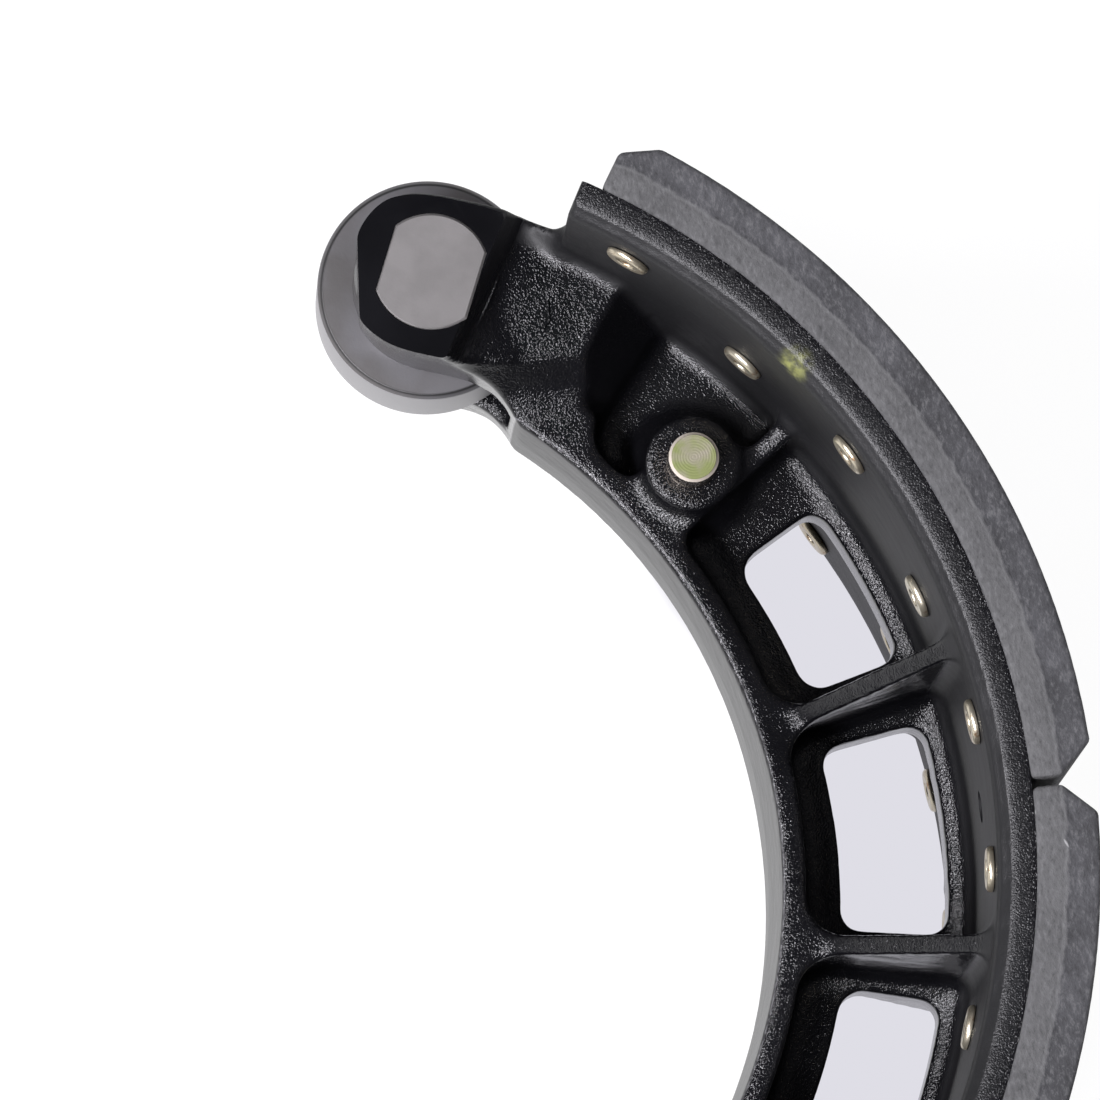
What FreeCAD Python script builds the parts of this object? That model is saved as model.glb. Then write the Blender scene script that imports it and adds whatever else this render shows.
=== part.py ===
# Cast drum-brake shoe with two riveted lining blocks, a cam roller on its pin,
# a return-spring pin and a bushed anchor eye.  Millimetres.
#
# Every piece is drawn about the drum centre: the drum axis is Z, the middle of
# the shoe's arc lies on +X and the cam end towards +Y.  The node placements
# then carry all of it to the anchor bore, which is the part's origin.
import FreeCAD, Part
import Sketcher
import math
import os

V = FreeCAD.Vector
doc = FreeCAD.newDocument("brake_shoe")

# ------------------------------------------------------------ driving sizes
sheet = doc.addObject("Spreadsheet::Sheet", "dims")
SIZES = [
    ("anchor_x", 56.03, "anchor bore centre from the drum centre"),
    ("anchor_y", -149.87, ""),
    ("pin_x", 56.73, "cam roller centre from the drum centre"),
    ("pin_y", 151.74, ""),
    # lining blocks
    ("lining_outer_radius", 204.5, "friction face"),
    ("lining_bed_radius", 188.5, "bed of the lining, outside of the table"),
    ("lining_width", 180.0, ""),
    ("lining_gap_angle", 0.30, "half the gap between the two blocks"),
    ("lining_end_angle", 58.20, ""),
    ("lining_gap_chamfer", 2.20, "angle of the chamfer beside the gap"),
    ("lining_end_chamfer", 2.60, "angle of the chamfer at the far end"),
    ("lining_gap_chamfer_radius", 196.0, "chamfer starts here"),
    ("lining_end_chamfer_radius", 199.0, "chamfer starts here"),
    ("lining_step_radius", 195.6, "ground flank above this radius"),
    ("lining_step_depth", 0.6, ""),
    # table: the curved plate that carries the linings
    ("table_inner_radius", 179.0, ""),
    ("table_edge_radius", 183.5, "bevel under the edge starts here"),
    ("table_half_width", 89.0, ""),
    ("table_bevel", 3.6, "axial run of that bevel"),
    ("table_half_angle", 59.80, ""),
    ("table_web_fillet", 3.6, "root of the table beside the ear block and the spring pin"),
    ("bay_web_fillet", 6.8, "wider root of the table beside the windows"),
    ("table_split_radius", 178.0, "the casting's table is drawn apart outside this"),
    ("end_split_angle", 47.0, "its fork and its anchor end are drawn apart beyond this"),
    # web and rim
    ("web_half", 7.5, "half the web's thickness"),
    ("rim_centre_x", -13.99, "centre of the rim's inner arc"),
    ("rim_centre_y", 2.97, ""),
    ("rim_radius", 141.2, "inner arc at the parting line"),
    ("rim_draft", 2.0, "draft of the inner arc, degrees"),
    ("rim_depth", 7.3, "radial depth of the rim"),
    ("pocket_corner", 10.0, "corner radius where ribs flare out of the rim"),
    ("pocket_root", 6.0, "root radius round the pocket floor"),
    ("rib_half", 2.7, "half thickness of a gusset"),
    ("rib_angle", 12.20, ""),
    ("far_rib_angle", 36.40, "gusset at the anchor end"),
    ("spring_rib_angle", 36.10, "gusset beside the spring pin"),
    ("ear_wall_angle", 49.80, "where the pocket floor meets the ear block"),
    ("ear_wall_slope", 30.0, "lean of that wall, degrees"),
    # windows
    ("window_inner_radius", 145.0, "middle window"),
    ("window_side_radius", 146.8, "side windows"),
    ("window_outer_radius", 172.5, ""),
    ("window_mid_half_angle", 9.20, ""),
    ("window_side_near", 15.00, ""),
    ("window_side_far", 29.80, ""),
    ("window_corner", 4.5, ""),
    ("window_side_corner", 6.0, "corners of the side windows next to the rim"),
    # fork round the roller
    ("ear_face", 42.0, "machined face from the middle plane"),
    ("ear_inner", 31.0, "inside of the ear plates"),
    ("ear_boss_radius", 19.5, "bosses inside the ears"),
    ("ear_boss_face", 14.3, ""),
    ("slot_half", 14.5, "half the width of the slot behind the roller"),
    ("slot_radius", 32.5, "slot round the roller"),
    ("slot_end_radius", 18.4, ""),
    # roller, pins, bush
    ("roller_radius", 28.5, ""),
    ("roller_half_width", 13.6, ""),
    ("roller_chamfer", 1.4, ""),
    ("roller_bore_radius", 15.05, ""),
    ("pin_radius", 15.0, ""),
    ("pin_flat", 12.15, "flat from the pin's axis"),
    ("pin_flat_angle", -23.3, "direction of the flats' normal"),
    ("pin_half_length", 42.0, ""),
    ("pin_fit", 0.02, "gap of the pin in the ears"),
    ("spring_pin_orbit", 153.5, ""),
    ("spring_pin_angle", 39.70, ""),
    ("spring_pin_radius", 6.5, ""),
    ("spring_pin_half_length", 36.0, ""),
    ("spring_shank_radius", 6.7, "pressed into the boss"),
    ("spring_boss_radius", 12.0, ""),
    ("spring_boss_face", 27.0, ""),
    ("eye_radius", 26.5, "outside of the anchor eye"),
    ("eye_half_width", 40.0, ""),
    ("bush_outer_radius", 18.0, ""),
    ("bush_inner_radius", 16.0, ""),
    ("bush_half_length", 40.0, ""),
    # rivets
    ("rivet_shank_radius", 4.0, ""),
    ("rivet_hole_radius", 4.1, ""),
    ("rivet_head_radius", 7.0, ""),
    ("rivet_head_height", 1.8, ""),
    ("rivet_seat_radius", 193.0, "drum radius at which the heads sit"),
    ("rivet_clinch_radius", 5.8, ""),
    ("rivet_clinch_height", 1.9, ""),
    ("rivet_tail_bore", 2.3, "hollow of the clinched end"),
    ("rivet_tail_depth", 7.0, ""),
    ("counterbore_radius", 7.6, ""),
    ("rivet_row_outer", 73.0, "outer rows from the middle plane"),
    ("rivet_row_inner", 46.0, "inner rows"),
    ("rivet_first_angle", 6.0, ""),
    ("rivet_pitch_angle", 12.0, ""),
]
for line, (alias, value, note) in enumerate(SIZES, start=1):
    sheet.set("A%d" % line, alias)
    sheet.set("B%d" % line, repr(float(value)))
    sheet.setAlias("B%d" % line, alias)
    if note:
        sheet.set("C%d" % line, note)
doc.recompute()


def size(alias):
    return float(sheet.get(alias))


def polar(radius, angle, z=0.0):
    a = math.radians(angle)
    return V(radius * math.cos(a), radius * math.sin(a), z)


# ------------------------------------------------------------ small helpers
PLANE = {
    "XY": FreeCAD.Rotation(),
    "XZ": FreeCAD.Rotation(V(1, 0, 0), 90),          # sketch y is world z
    "YZ": FreeCAD.Rotation(V(1, 1, 1), 120),         # sketch x is world y
}


def join_ends(sk):
    """Tie every end that meets another end in the sketch."""
    ends = [(i, e, sk.getPoint(i, e)) for i in range(sk.GeometryCount) for e in (1, 2)
            if not isinstance(sk.Geometry[i], Part.Circle)]
    done = set()
    for a in range(len(ends)):
        for b in range(a + 1, len(ends)):
            ga, ea, pa = ends[a]
            gb, eb, pb = ends[b]
            if ga != gb and (ga, ea) not in done and (gb, eb) not in done \
                    and pa.distanceToPoint(pb) < 1e-6:
                sk.addConstraint(Sketcher.Constraint("Coincident", ga, ea, gb, eb))
                done.add((ga, ea))
                done.add((gb, eb))


def sketch(name, plane, geometry):
    sk = doc.addObject("Sketcher::SketchObject", name)
    sk.Placement = FreeCAD.Placement(V(0, 0, 0), PLANE[plane])
    sk.addGeometry(geometry, False)
    join_ends(sk)
    return sk


def lines(points, closed=True):
    pts = [V(*p) for p in points]
    out = []
    for i in range(len(pts) - (0 if closed else 1)):
        out.append(Part.LineSegment(pts[i], pts[(i + 1) % len(pts)]))
    return out


def arc_about(centre, p0, p1):
    """Short arc from p0 to p1 about a centre."""
    a0 = math.atan2(p0.y - centre.y, p0.x - centre.x)
    a1 = math.atan2(p1.y - centre.y, p1.x - centre.x)
    while a1 - a0 > math.pi:
        a1 -= 2 * math.pi
    while a1 - a0 < -math.pi:
        a1 += 2 * math.pi
    r0 = (p0 - centre).Length
    r1 = (p1 - centre).Length
    am = 0.5 * (a0 + a1)
    pm = centre + V(math.cos(am), math.sin(am), 0) * (0.5 * (r0 + r1))
    return Part.Arc(p0, pm, p1)


def spline(points):
    bs = Part.BSplineCurve()
    bs.interpolate([V(*p) for p in points])
    return bs


def extrusion(name, base, axis, forward, backward):
    ex = doc.addObject("Part::Extrusion", name)
    ex.Base = base
    ex.DirMode = "Custom"
    ex.Dir = axis
    ex.Solid = True
    if isinstance(forward, str):
        ex.LengthFwd = 1.0
        ex.setExpression("LengthFwd", forward)
    else:
        ex.LengthFwd = forward
    if isinstance(backward, str):
        ex.LengthRev = 1.0
        ex.setExpression("LengthRev", backward)
    else:
        ex.LengthRev = backward
    return ex


def group(kind, name, shapes):
    ob = doc.addObject("Part::" + kind, name)
    ob.Shapes = shapes
    return ob


def cut(name, base, tool):
    ob = doc.addObject("Part::Cut", name)
    ob.Base = base
    ob.Tool = tool
    return ob


def cylinder(name, radius, height, placement):
    ob = doc.addObject("Part::Cylinder", name)
    ob.setExpression("Radius", radius)
    ob.setExpression("Height", height)
    ob.Placement = placement
    return ob


def upright(name, radius, half, x, y):
    """Cylinder along Z, centred on the middle plane, at (x, y)."""
    ob = cylinder(name, radius, "2 * (%s)" % half, FreeCAD.Placement())
    ob.setExpression("Placement.Base.x", x)
    ob.setExpression("Placement.Base.y", y)
    ob.setExpression("Placement.Base.z", "-(%s)" % half)
    return ob


def radial(name, radius, height, start, angle, z):
    """Cylinder along a drum radius, from drum radius start outwards."""
    rot = FreeCAD.Rotation(V(0, 0, 1), polar(1, angle))
    return cylinder(name, radius, height, FreeCAD.Placement(polar(start, angle, z), rot))


def fillet_edges(name, base, radius, pick):
    """Fillet the edges of base that pick chooses."""
    doc.recompute()
    ob = doc.addObject("Part::Fillet", name)
    ob.Base = base
    chosen = [i + 1 for i, e in enumerate(base.Shape.Edges) if pick(e)]
    if not chosen:
        raise RuntimeError("no edges for " + name)
    ob.Edges = [(i, radius, radius) for i in chosen]
    return ob


def at_anchor(ob, label, dx="0", dy="0"):
    """Name a finished piece and carry it from the drum centre to the anchor."""
    ob.Label = label
    ob.setExpression("Placement.Base.x", "%s - dims.anchor_x" % dx)
    ob.setExpression("Placement.Base.y", "%s - dims.anchor_y" % dy)
    return ob


def origin_plane(body, role):
    for feature in body.Origin.OriginFeatures:
        if feature.Role == role:
            return feature
    raise RuntimeError("no plane " + role)


def body_sketch(body, name, role, geometry):
    sk = body.newObject("Sketcher::SketchObject", name)
    sk.AttachmentSupport = [(origin_plane(body, role), "")]
    sk.MapMode = "FlatFace"
    sk.addGeometry(geometry, False)
    join_ends(sk)
    return sk


ORIGIN = V(0, 0, 0)
RIM = V(size("rim_centre_x"), size("rim_centre_y"), 0)

# ------------------------------------------------------------- shoe casting
# Table: a plate bent to the drum, its free edges bevelled underneath, running
# into the web with a wide root.
ri, ro = size("table_inner_radius"), size("lining_bed_radius")
re_, hw = size("table_edge_radius"), size("table_half_width")
bevel, web, root = size("table_bevel"), size("web_half"), size("table_web_fillet")
k = root * (1 - math.sqrt(0.5))
table_profile = (
    lines([(ri, web + root), (ri, hw - bevel), (re_, hw), (ro, hw), (ro, -hw),
           (re_, -hw), (ri, -hw + bevel), (ri, -web - root)], closed=False)
    + [Part.Arc(V(ri, -web - root), V(ri - k, -web - k), V(ri - root, -web))]
    + lines([(ri - root, -web), (ri - root - 6, -web), (ri - root - 6, web), (ri - root, web)],
            closed=False)
    + [Part.Arc(V(ri - root, web), V(ri - k, web + k), V(ri, web + root))])
table_sketch = sketch("table_section", "XZ", table_profile)
table = doc.addObject("Part::Revolution", "table")
table.Source = table_sketch
table.Axis = V(0, 0, 1)
table.Base = V(0, 0, 0)
table.setExpression("Angle", "2 * dims.table_half_angle")
table.Symmetric = True
table.Solid = True

# The wider root between the two gussets that stand beside the side windows.
bay = size("bay_web_fillet")
kb = bay * (1 - math.sqrt(0.5))
bay_parts = []
for tag, s in (("front", 1), ("rear", -1)):
    bay_root = doc.addObject("Part::Revolution", "bay_root_" + tag)
    bay_root.Source = sketch(
        "bay_root_section_" + tag, "XZ",
        lines([(ri, s * (web + bay)), (ri + 1.0, s * (web + bay)), (ri + 1.0, s * (web - 1.0)),
               (ri - bay, s * (web - 1.0)), (ri - bay, s * web)], closed=False)
        + [Part.Arc(V(ri - bay, s * web), V(ri - kb, s * (web + kb)), V(ri, s * (web + bay)))])
    bay_root.Axis = V(0, 0, 1)
    bay_root.Base = V(0, 0, 0)
    bay_root.setExpression("Angle", "dims.spring_rib_angle + dims.far_rib_angle")
    bay_root.Symmetric = True
    bay_root.Solid = True
    bay_parts.append(bay_root)

# Side outline of rim, ear and anchor end.
half = size("table_half_angle") - 0.2
cam_top = polar(184.0, half)
foot = polar(184.0, -half)
ear_top = [(90.9, 158.7), (84.5, 162.4), (78.81, 165.21), (71.8, 167.9), (64.80, 170.26),
           (57.72, 172.14), (52.51, 172.48), (47.23, 171.17), (43.05, 168.33), (39.08, 162.91)]
ear_low = [(37.32, 141.34), (39.9, 138.0), (43.95, 134.54), (49.77, 131.75), (57.9, 129.0),
           (64.4, 126.4), (69.4, 123.2), (72.9, 118.8), (78.2, 112.4)]
rim_end = V(*ear_low[-1])
rim_end = RIM + (rim_end - RIM).normalize() * (size("rim_radius") - 1)
ear_low[-1] = (rim_end.x, rim_end.y)
rim_foot = polar(133.4, -61.0)
rim_foot = RIM + (rim_foot - RIM).normalize() * (size("rim_radius") - 1)
side_outline = (
    [arc_about(ORIGIN, foot, cam_top)]
    + lines([(cam_top.x, cam_top.y), ear_top[0]], closed=False)
    + [spline(ear_top)]
    + lines([ear_top[-1], ear_low[0]], closed=False)
    + [spline(ear_low)]
    + [arc_about(RIM, rim_end, rim_foot)]
    + lines([(rim_foot.x, rim_foot.y), (47.5, -127.5), (size("anchor_x"), size("anchor_y")),
             (70.5, -171.0), (91.2, -160.2), (foot.x, foot.y)], closed=False))
side_sketch = sketch("side_outline", "XY", side_outline)
side = extrusion("side", side_sketch, V(0, 0, 1), 50.0, 50.0)

# Width of rim, ear and anchor end, seen along X: the rim narrows towards the
# cam end and a short cast step leads up from it to the ear block.
rim_width = [(-190, 40), (-60, 40), (-9, 38), (13, 35), (35, 29), (56, 24.5), (72, 22.2),
             (90, 21.3), (106, 21.3), (115, 22.3)]
step_width = [(115, 22.3), (120.5, 24.6), (124.0, 28.6), (127.6, 32.6), (133, 34.2), (146, 36),
              (190, 36)]
upper = (lines(rim_width[:2], closed=False) + [spline(rim_width[1:])]
         + lines(step_width, closed=False))
lower = (lines([(y, -w) for y, w in rim_width[:2]], closed=False)
         + [spline([(y, -w) for y, w in rim_width[1:]])]
         + lines([(y, -w) for y, w in step_width], closed=False))
width_sketch = sketch(
    "width_outline", "YZ",
    upper + lower + lines([(190, 36), (190, -36)], closed=False)
    + lines([(-190, 40), (-190, -40)], closed=False))
width = extrusion("width", width_sketch, V(1, 0, 0), 210.0, 5.0)

# The ears stand out to a machined face beside the pin; a cast slope leads down
# from that face to the ear block.
n = V(0.875, -0.485, 0).normalize()
up = V(-n.y, n.x, 0)
pad_line = V(58.6, 130.4, 0)
pad = doc.addObject("Part::Box", "ear_pad")
pad.Length, pad.Width = 75.0, 90.0
pad.setExpression("Height", "2 * dims.ear_face")
pad.Placement = FreeCAD.Placement(pad_line - n * 60 - up * 30,
                                  FreeCAD.Rotation(V(0, 0, 1), n))
pad.Placement = FreeCAD.Placement(
    pad_line - n * 60 - up * 30 - V(0, 0, size("ear_face")),
    FreeCAD.Rotation(V(0, 0, 1), math.degrees(math.atan2(n.y, n.x))))
face = size("ear_face")
slope = doc.addObject("Sketcher::SketchObject", "ear_slope_section")
slope.Placement = FreeCAD.Placement(
    pad_line, FreeCAD.Rotation(FreeCAD.Matrix(n.x, 0, n.y, 0, n.y, 0, -n.x, 0, 0, 1, 0, 0)))
slope.addGeometry(
    lines([(0, face), (3.5, face - 4.6), (8.0, face - 6.8), (20, face - 9), (20, face + 5),
           (0, face + 5)])
    + lines([(0, -face), (3.5, -face + 4.6), (8.0, -face + 6.8), (20, -face + 9),
             (20, -face - 5), (0, -face - 5)]), False)
join_ends(slope)
slope_cut = extrusion("ear_slope", slope, V(n.y, -n.x, 0), 70.0, 70.0)
step_y = [(210, 50), (129.4, 50), (127.9, 33.5), (124.0, 28.6), (120.5, 24.6), (100, 20)]
pad_step = extrusion(
    "ear_pad_step", sketch("ear_pad_step_section", "YZ",
                           lines(step_y + [(y, -w) for y, w in reversed(step_y)])),
    V(1, 0, 0), 210.0, 5.0)
ear_pad = group("MultiCommon", "stepped_ear_pads", [cut("ear_pads", pad, slope_cut), pad_step])

# Toe beside the table's end: the ear block rises towards its outer edge.
out = V(0.764, 0.645, 0)
toe_section = doc.addObject("Sketcher::SketchObject", "toe_section")
toe_section.Placement = FreeCAD.Placement(
    V(80.4, 163.4, 0),
    FreeCAD.Rotation(FreeCAD.Matrix(out.x, 0, out.y, 0, out.y, 0, -out.x, 0, 0, 1, 0, 0)))
toe_section.addGeometry(
    lines([(-1.5, 20), (-1.5, 35.4), (7.5, 43.5), (7.5, 20)])
    + lines([(-1.5, -20), (-1.5, -35.4), (7.5, -43.5), (7.5, -20)]), False)
join_ends(toe_section)
toe = extrusion("toe", toe_section, V(out.y, -out.x, 0), 15.0, 2.0)
block = group("MultiCommon", "block",
              [side, group("MultiFuse", "width_with_ears", [width, ear_pad, toe])])

# Draft on the rim's inner face, both ways from the parting line.
draft = []
for tag, sign in (("front", 1), ("rear", -1)):
    cone = doc.addObject("Part::Cone", "rim_draft_" + tag)
    cone.setExpression("Radius1", "dims.rim_radius")
    cone.setExpression("Radius2", "dims.rim_radius + 60 * tan(dims.rim_draft * 1 deg)")
    cone.Height = 60.0
    cone.Placement = FreeCAD.Placement(
        RIM, FreeCAD.Rotation() if sign > 0 else FreeCAD.Rotation(V(1, 0, 0), 180))
    draft.append(cone)
drafted = cut("drafted_block", block, group("MultiFuse", "rim_draft", draft))

# Pockets down to the web, each a cell between rim, table, ribs and ear block.
rim_out = size("rim_radius") + size("rim_depth")
corner, pocket_root = size("pocket_corner"), size("pocket_root")


def on_rim(angle):
    """Point of the pocket's rim side, on the drum ray at this angle."""
    u = polar(1, angle)
    b = RIM.dot(u)
    return u * (b + math.sqrt(b * b - RIM.dot(RIM) + rim_out * rim_out))


def offset_ray(angle, offset, radius):
    """Point at a drum radius on a line parallel to the ray, offset sideways."""
    t = polar(1, angle + 90) * offset
    u = polar(1, angle)
    return t + u * math.sqrt(radius * radius - offset * offset)


def rim_on_offset_ray(angle, offset):
    t = polar(1, angle + 90) * offset
    u = polar(1, angle)
    w = t - RIM
    b = w.dot(u)
    return t + u * (-b + math.sqrt(b * b - w.dot(w) + rim_out * rim_out))


rib, rib_half = size("rib_angle"), size("rib_half")
wall = size("ear_wall_angle")


def pocket(name, a, b, off_a, off_b):
    """Cell from ray a to ray b, each side set in by an offset."""
    p0, p1 = rim_on_offset_ray(a, off_a), offset_ray(a, off_a, ri + 1.5)
    p3, p2 = rim_on_offset_ray(b, off_b), offset_ray(b, off_b, ri + 1.5)
    sk = sketch(name + "_outline", "XY",
                [Part.LineSegment(p0, p1), arc_about(ORIGIN, p1, p2),
                 Part.LineSegment(p2, p3), arc_about(RIM, p3, p0)])
    made = []
    for tag, sign in (("front", 1), ("rear", -1)):
        ex = extrusion("%s_%s" % (name, tag), sk, V(0, 0, sign), 60.0, 0.0)
        ex.LengthRev = -web
        doc.recompute()

        def stands_on_rim(e):
            bb = e.BoundBox
            if bb.ZLength < 5 or len(e.Vertexes) != 2:
                return False
            p = e.Vertexes[0].Point
            return min((V(p.x, p.y, 0) - q).Length for q in (p0, p3)) < 0.01

        rounded = fillet_edges(ex.Name + "_corners", ex, corner, stands_on_rim)
        doc.recompute()

        def on_floor(e):
            bb = e.BoundBox
            return bb.ZLength < 0.01 and abs(abs(bb.ZMin) - web) < 0.01

        made.append(fillet_edges(ex.Name + "_root", rounded, pocket_root, on_floor))
    return made


pockets = []
pockets += pocket("mid_pocket", -rib, rib, rib_half, -rib_half)
pockets += pocket("cam_pocket", rib, wall, rib_half, 0.0)
pockets += pocket("anchor_pocket", -wall, -rib, 0.0, -rib_half)

# The ear block and its twin at the anchor end lean back from the pocket floor.
lean = math.tan(math.radians(size("ear_wall_slope")))
low, top = web + pocket_root, 60.0
run = (top - low) * lean
for tag, sign in (("cam", 1), ("anchor", -1)):
    sk = sketch("%s_wall_slope" % tag, "YZ",
                lines([(-2 * sign, low), (0, low), (sign * run, top), (-2 * sign, top)])
                + lines([(-2 * sign, -low), (0, -low), (sign * run, -top),
                         (-2 * sign, -top)]))
    ex = extrusion("%s_wall" % tag, sk, V(1, 0, 0), "dims.table_inner_radius + 1.5", 0.0)
    ex.LengthRev = -148.0
    ex.Placement = FreeCAD.Placement(ORIGIN, FreeCAD.Rotation(V(0, 0, 1), sign * wall))
    pockets.append(ex)
pocketed = cut("pocketed_block", drafted, group("MultiFuse", "pockets", pockets))


# Gussets from the rim up to the table's edges.
def gusset(name, angle, points, thick="dims.rib_half - 0.15"):
    pts = [(r, z) for r, z in points] + [(r, -z) for r, z in reversed(points)]
    ex = extrusion(name, sketch(name + "_section", "XZ", lines(pts)), V(0, 1, 0), thick, thick)
    ex.Placement = FreeCAD.Placement(ORIGIN, FreeCAD.Rotation(V(0, 0, 1), angle))
    return ex


ribs = [
    gusset("cam_gusset", rib, [(135, 30.0), (139.5, 31.0), (181, 82.5)]),
    gusset("anchor_gusset", -rib, [(135, 37.5), (139.5, 38.5), (181, 82.5)]),
    gusset("spring_gusset", size("spring_rib_angle"),
           [(136, 21.0), (148, 23.6), (165, 24.0), (175, 26.5), (181, 34.0)]),
    gusset("far_anchor_gusset", -size("far_rib_angle"), [(137, 38.5), (141, 39.5), (181, 66.0)]),
]

# Boss of the return-spring pin, on both sides of the web.
sx = "dims.spring_pin_orbit * cos(dims.spring_pin_angle * 1 deg)"
sy = "dims.spring_pin_orbit * sin(dims.spring_pin_angle * 1 deg)"
boss = upright("spring_boss", "dims.spring_boss_radius", "dims.spring_boss_face", sx, sy)
skirts = []
for tag, sign in (("front", 1), ("rear", -1)):
    skirt = doc.addObject("Part::Cone", "spring_boss_skirt_" + tag)
    skirt.setExpression("Radius1", "dims.spring_boss_radius + 6")
    skirt.setExpression("Radius2", "dims.spring_boss_radius")
    skirt.Height = 8.0
    at = polar(size("spring_pin_orbit"), size("spring_pin_angle"), sign * (web - 0.5))
    skirt.Placement = FreeCAD.Placement(
        at, FreeCAD.Rotation() if sign > 0 else FreeCAD.Rotation(V(1, 0, 0), 180))
    skirts.append(skirt)

# Anchor eye.
eye = upright("anchor_eye", "dims.eye_radius", "dims.eye_half_width",
              "dims.anchor_x", "dims.anchor_y")

body_solid = group("MultiFuse", "raw_casting",
                   [pocketed, table, boss, eye] + bay_parts + ribs + skirts)

# Room for the roller: a slot in the middle that widens between the ears.
slot_plan = group("MultiFuse", "slot_plan", [
    upright("slot_round", "dims.slot_radius", "60", "dims.pin_x", "dims.pin_y"),
    upright("slot_end", "dims.slot_end_radius", "60", "70", "136"),
])
sh, ei = size("slot_half"), size("ear_inner")
gap_up = [(90, sh), (131, sh), (143, ei), (210, ei)]
gap_sketch = sketch("slot_width", "YZ", lines(gap_up + [(y, -w) for y, w in reversed(gap_up)]))
gap = extrusion("slot_width_solid", gap_sketch, V(1, 0, 0), 130.0, 0.0)
slot = group("MultiCommon", "slot", [slot_plan, gap])
forked = cut("forked_casting", body_solid, slot)
ear_bosses = upright("ear_boss_core", "dims.ear_boss_radius", "dims.ear_inner + 2",
                     "dims.pin_x", "dims.pin_y")
boss_gap = upright("ear_boss_gap", "dims.ear_boss_radius + 2", "dims.ear_boss_face",
                   "dims.pin_x", "dims.pin_y")
with_bosses = group("MultiFuse", "casting_with_bosses",
                    [forked, cut("ear_bosses", ear_bosses, boss_gap)])


# Windows through the web.
def window(name, inner_radius, a, b, inner_corner="window_corner"):
    r0, r1 = size(inner_radius), size("window_outer_radius")
    p0, p1, p2, p3 = polar(r0, a), polar(r1, a), polar(r1, b), polar(r0, b)
    sk = sketch(name + "_outline", "XY",
                [Part.LineSegment(p0, p1), arc_about(ORIGIN, p1, p2),
                 Part.LineSegment(p2, p3), arc_about(ORIGIN, p3, p0)])
    ex = extrusion(name, sk, V(0, 0, 1), 20.0, 20.0)

    def stands(e, radius):
        p = e.Vertexes[0].Point
        return e.BoundBox.ZLength > 5 and abs(math.hypot(p.x, p.y) - radius) < 0.01

    outer = fillet_edges(name + "_outer", ex, size("window_corner"), lambda e: stands(e, r1))
    return fillet_edges(name + "_rounded", outer, size(inner_corner), lambda e: stands(e, r0))


tools = [
    window("mid_window", "window_inner_radius", -size("window_mid_half_angle"), size("window_mid_half_angle")),
    window("cam_window", "window_side_radius", size("window_side_near"),
           size("window_side_far"), "window_side_corner"),
    window("anchor_window", "window_side_radius", -size("window_side_far"),
           -size("window_side_near"), "window_side_corner"),
]

# Holes for the spring pin, the bush and the flatted roller pin.
tools.append(upright("spring_pin_hole", "dims.spring_shank_radius", "60", sx, sy))
tools.append(upright("bush_hole", "dims.bush_outer_radius", "60", "dims.anchor_x",
                     "dims.anchor_y"))


def flatted(radius, flat):
    """Round section with two flats, drawn round its own centre."""
    ax = math.sqrt(radius * radius - flat * flat)
    return [Part.LineSegment(V(flat, -ax, 0), V(flat, ax, 0)),
            Part.Arc(V(flat, ax, 0), V(0, radius, 0), V(-flat, ax, 0)),
            Part.LineSegment(V(-flat, ax, 0), V(-flat, -ax, 0)),
            Part.Arc(V(-flat, -ax, 0), V(0, -radius, 0), V(flat, -ax, 0))]


fit = size("pin_fit")
hole = extrusion("roller_pin_hole",
                 sketch("roller_pin_hole_outline", "XY",
                        flatted(size("pin_radius") + fit, size("pin_flat") + fit)),
                 V(0, 0, 1), 60.0, 60.0)
hole.Placement = FreeCAD.Placement(V(size("pin_x"), size("pin_y"), 0),
                                   FreeCAD.Rotation(V(0, 0, 1), size("pin_flat_angle")))
tools.append(hole)

# Rivet pattern: outer rows at odd steps, inner rows at even ones, and one
# empty hole a side in the middle.
outer, inner = size("rivet_row_outer"), size("rivet_row_inner")
first, pitch = size("rivet_first_angle"), size("rivet_pitch_angle")
cam_rivets = ([(first + 2 * pitch * i, s * outer) for i in range(3) for s in (1, -1)]
              + [(first + pitch + 2 * pitch * i, s * inner) for i in range(2) for s in (1, -1)])
anchor_rivets = [(-a, z) for a, z in cam_rivets]
spare_holes = [(0.0, inner), (0.0, -inner)]
for i, (a, z) in enumerate(cam_rivets + anchor_rivets + spare_holes):
    tools.append(radial("table_hole_%d" % (i + 1), "dims.rivet_hole_radius", "30",
                        170.0, a, z))
casting = cut("whole_casting", with_bosses, group("MultiFuse", "casting_holes", tools))

# The casting is one piece of iron.  It is drawn as four solids that meet face to
# face: the table, the web with the rim, the fork and the anchor end.
inner_core = cylinder("inner_core", "dims.table_split_radius", "200",
                      FreeCAD.Placement(V(0, 0, -100), FreeCAD.Rotation()))
at_anchor(cut("casting_table", casting, inner_core), "casting_table")
core = group("MultiCommon", "casting_core", [casting, inner_core])


def end_zone(name, sign):
    """Everything beyond the split plane of one end."""
    zone = doc.addObject("Part::Box", name)
    zone.Length, zone.Width, zone.Height = 260.0, 160.0, 200.0
    angle = sign * size("end_split_angle")
    rot = FreeCAD.Rotation(V(0, 0, 1), angle)
    zone.Placement = FreeCAD.Placement(
        rot.multVec(V(-60.0, 0.0 if sign > 0 else -160.0, -100.0)), rot)
    return zone


cam_zone, anchor_zone = end_zone("fork_zone", 1), end_zone("anchor_zone", -1)
at_anchor(group("MultiCommon", "casting_fork", [core, cam_zone]), "casting_fork")
at_anchor(group("MultiCommon", "casting_anchor_end", [core, anchor_zone]), "casting_anchor_end")
at_anchor(cut("casting_web", core, group("MultiFuse", "end_zones", [cam_zone, anchor_zone])),
          "casting_web")


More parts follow.
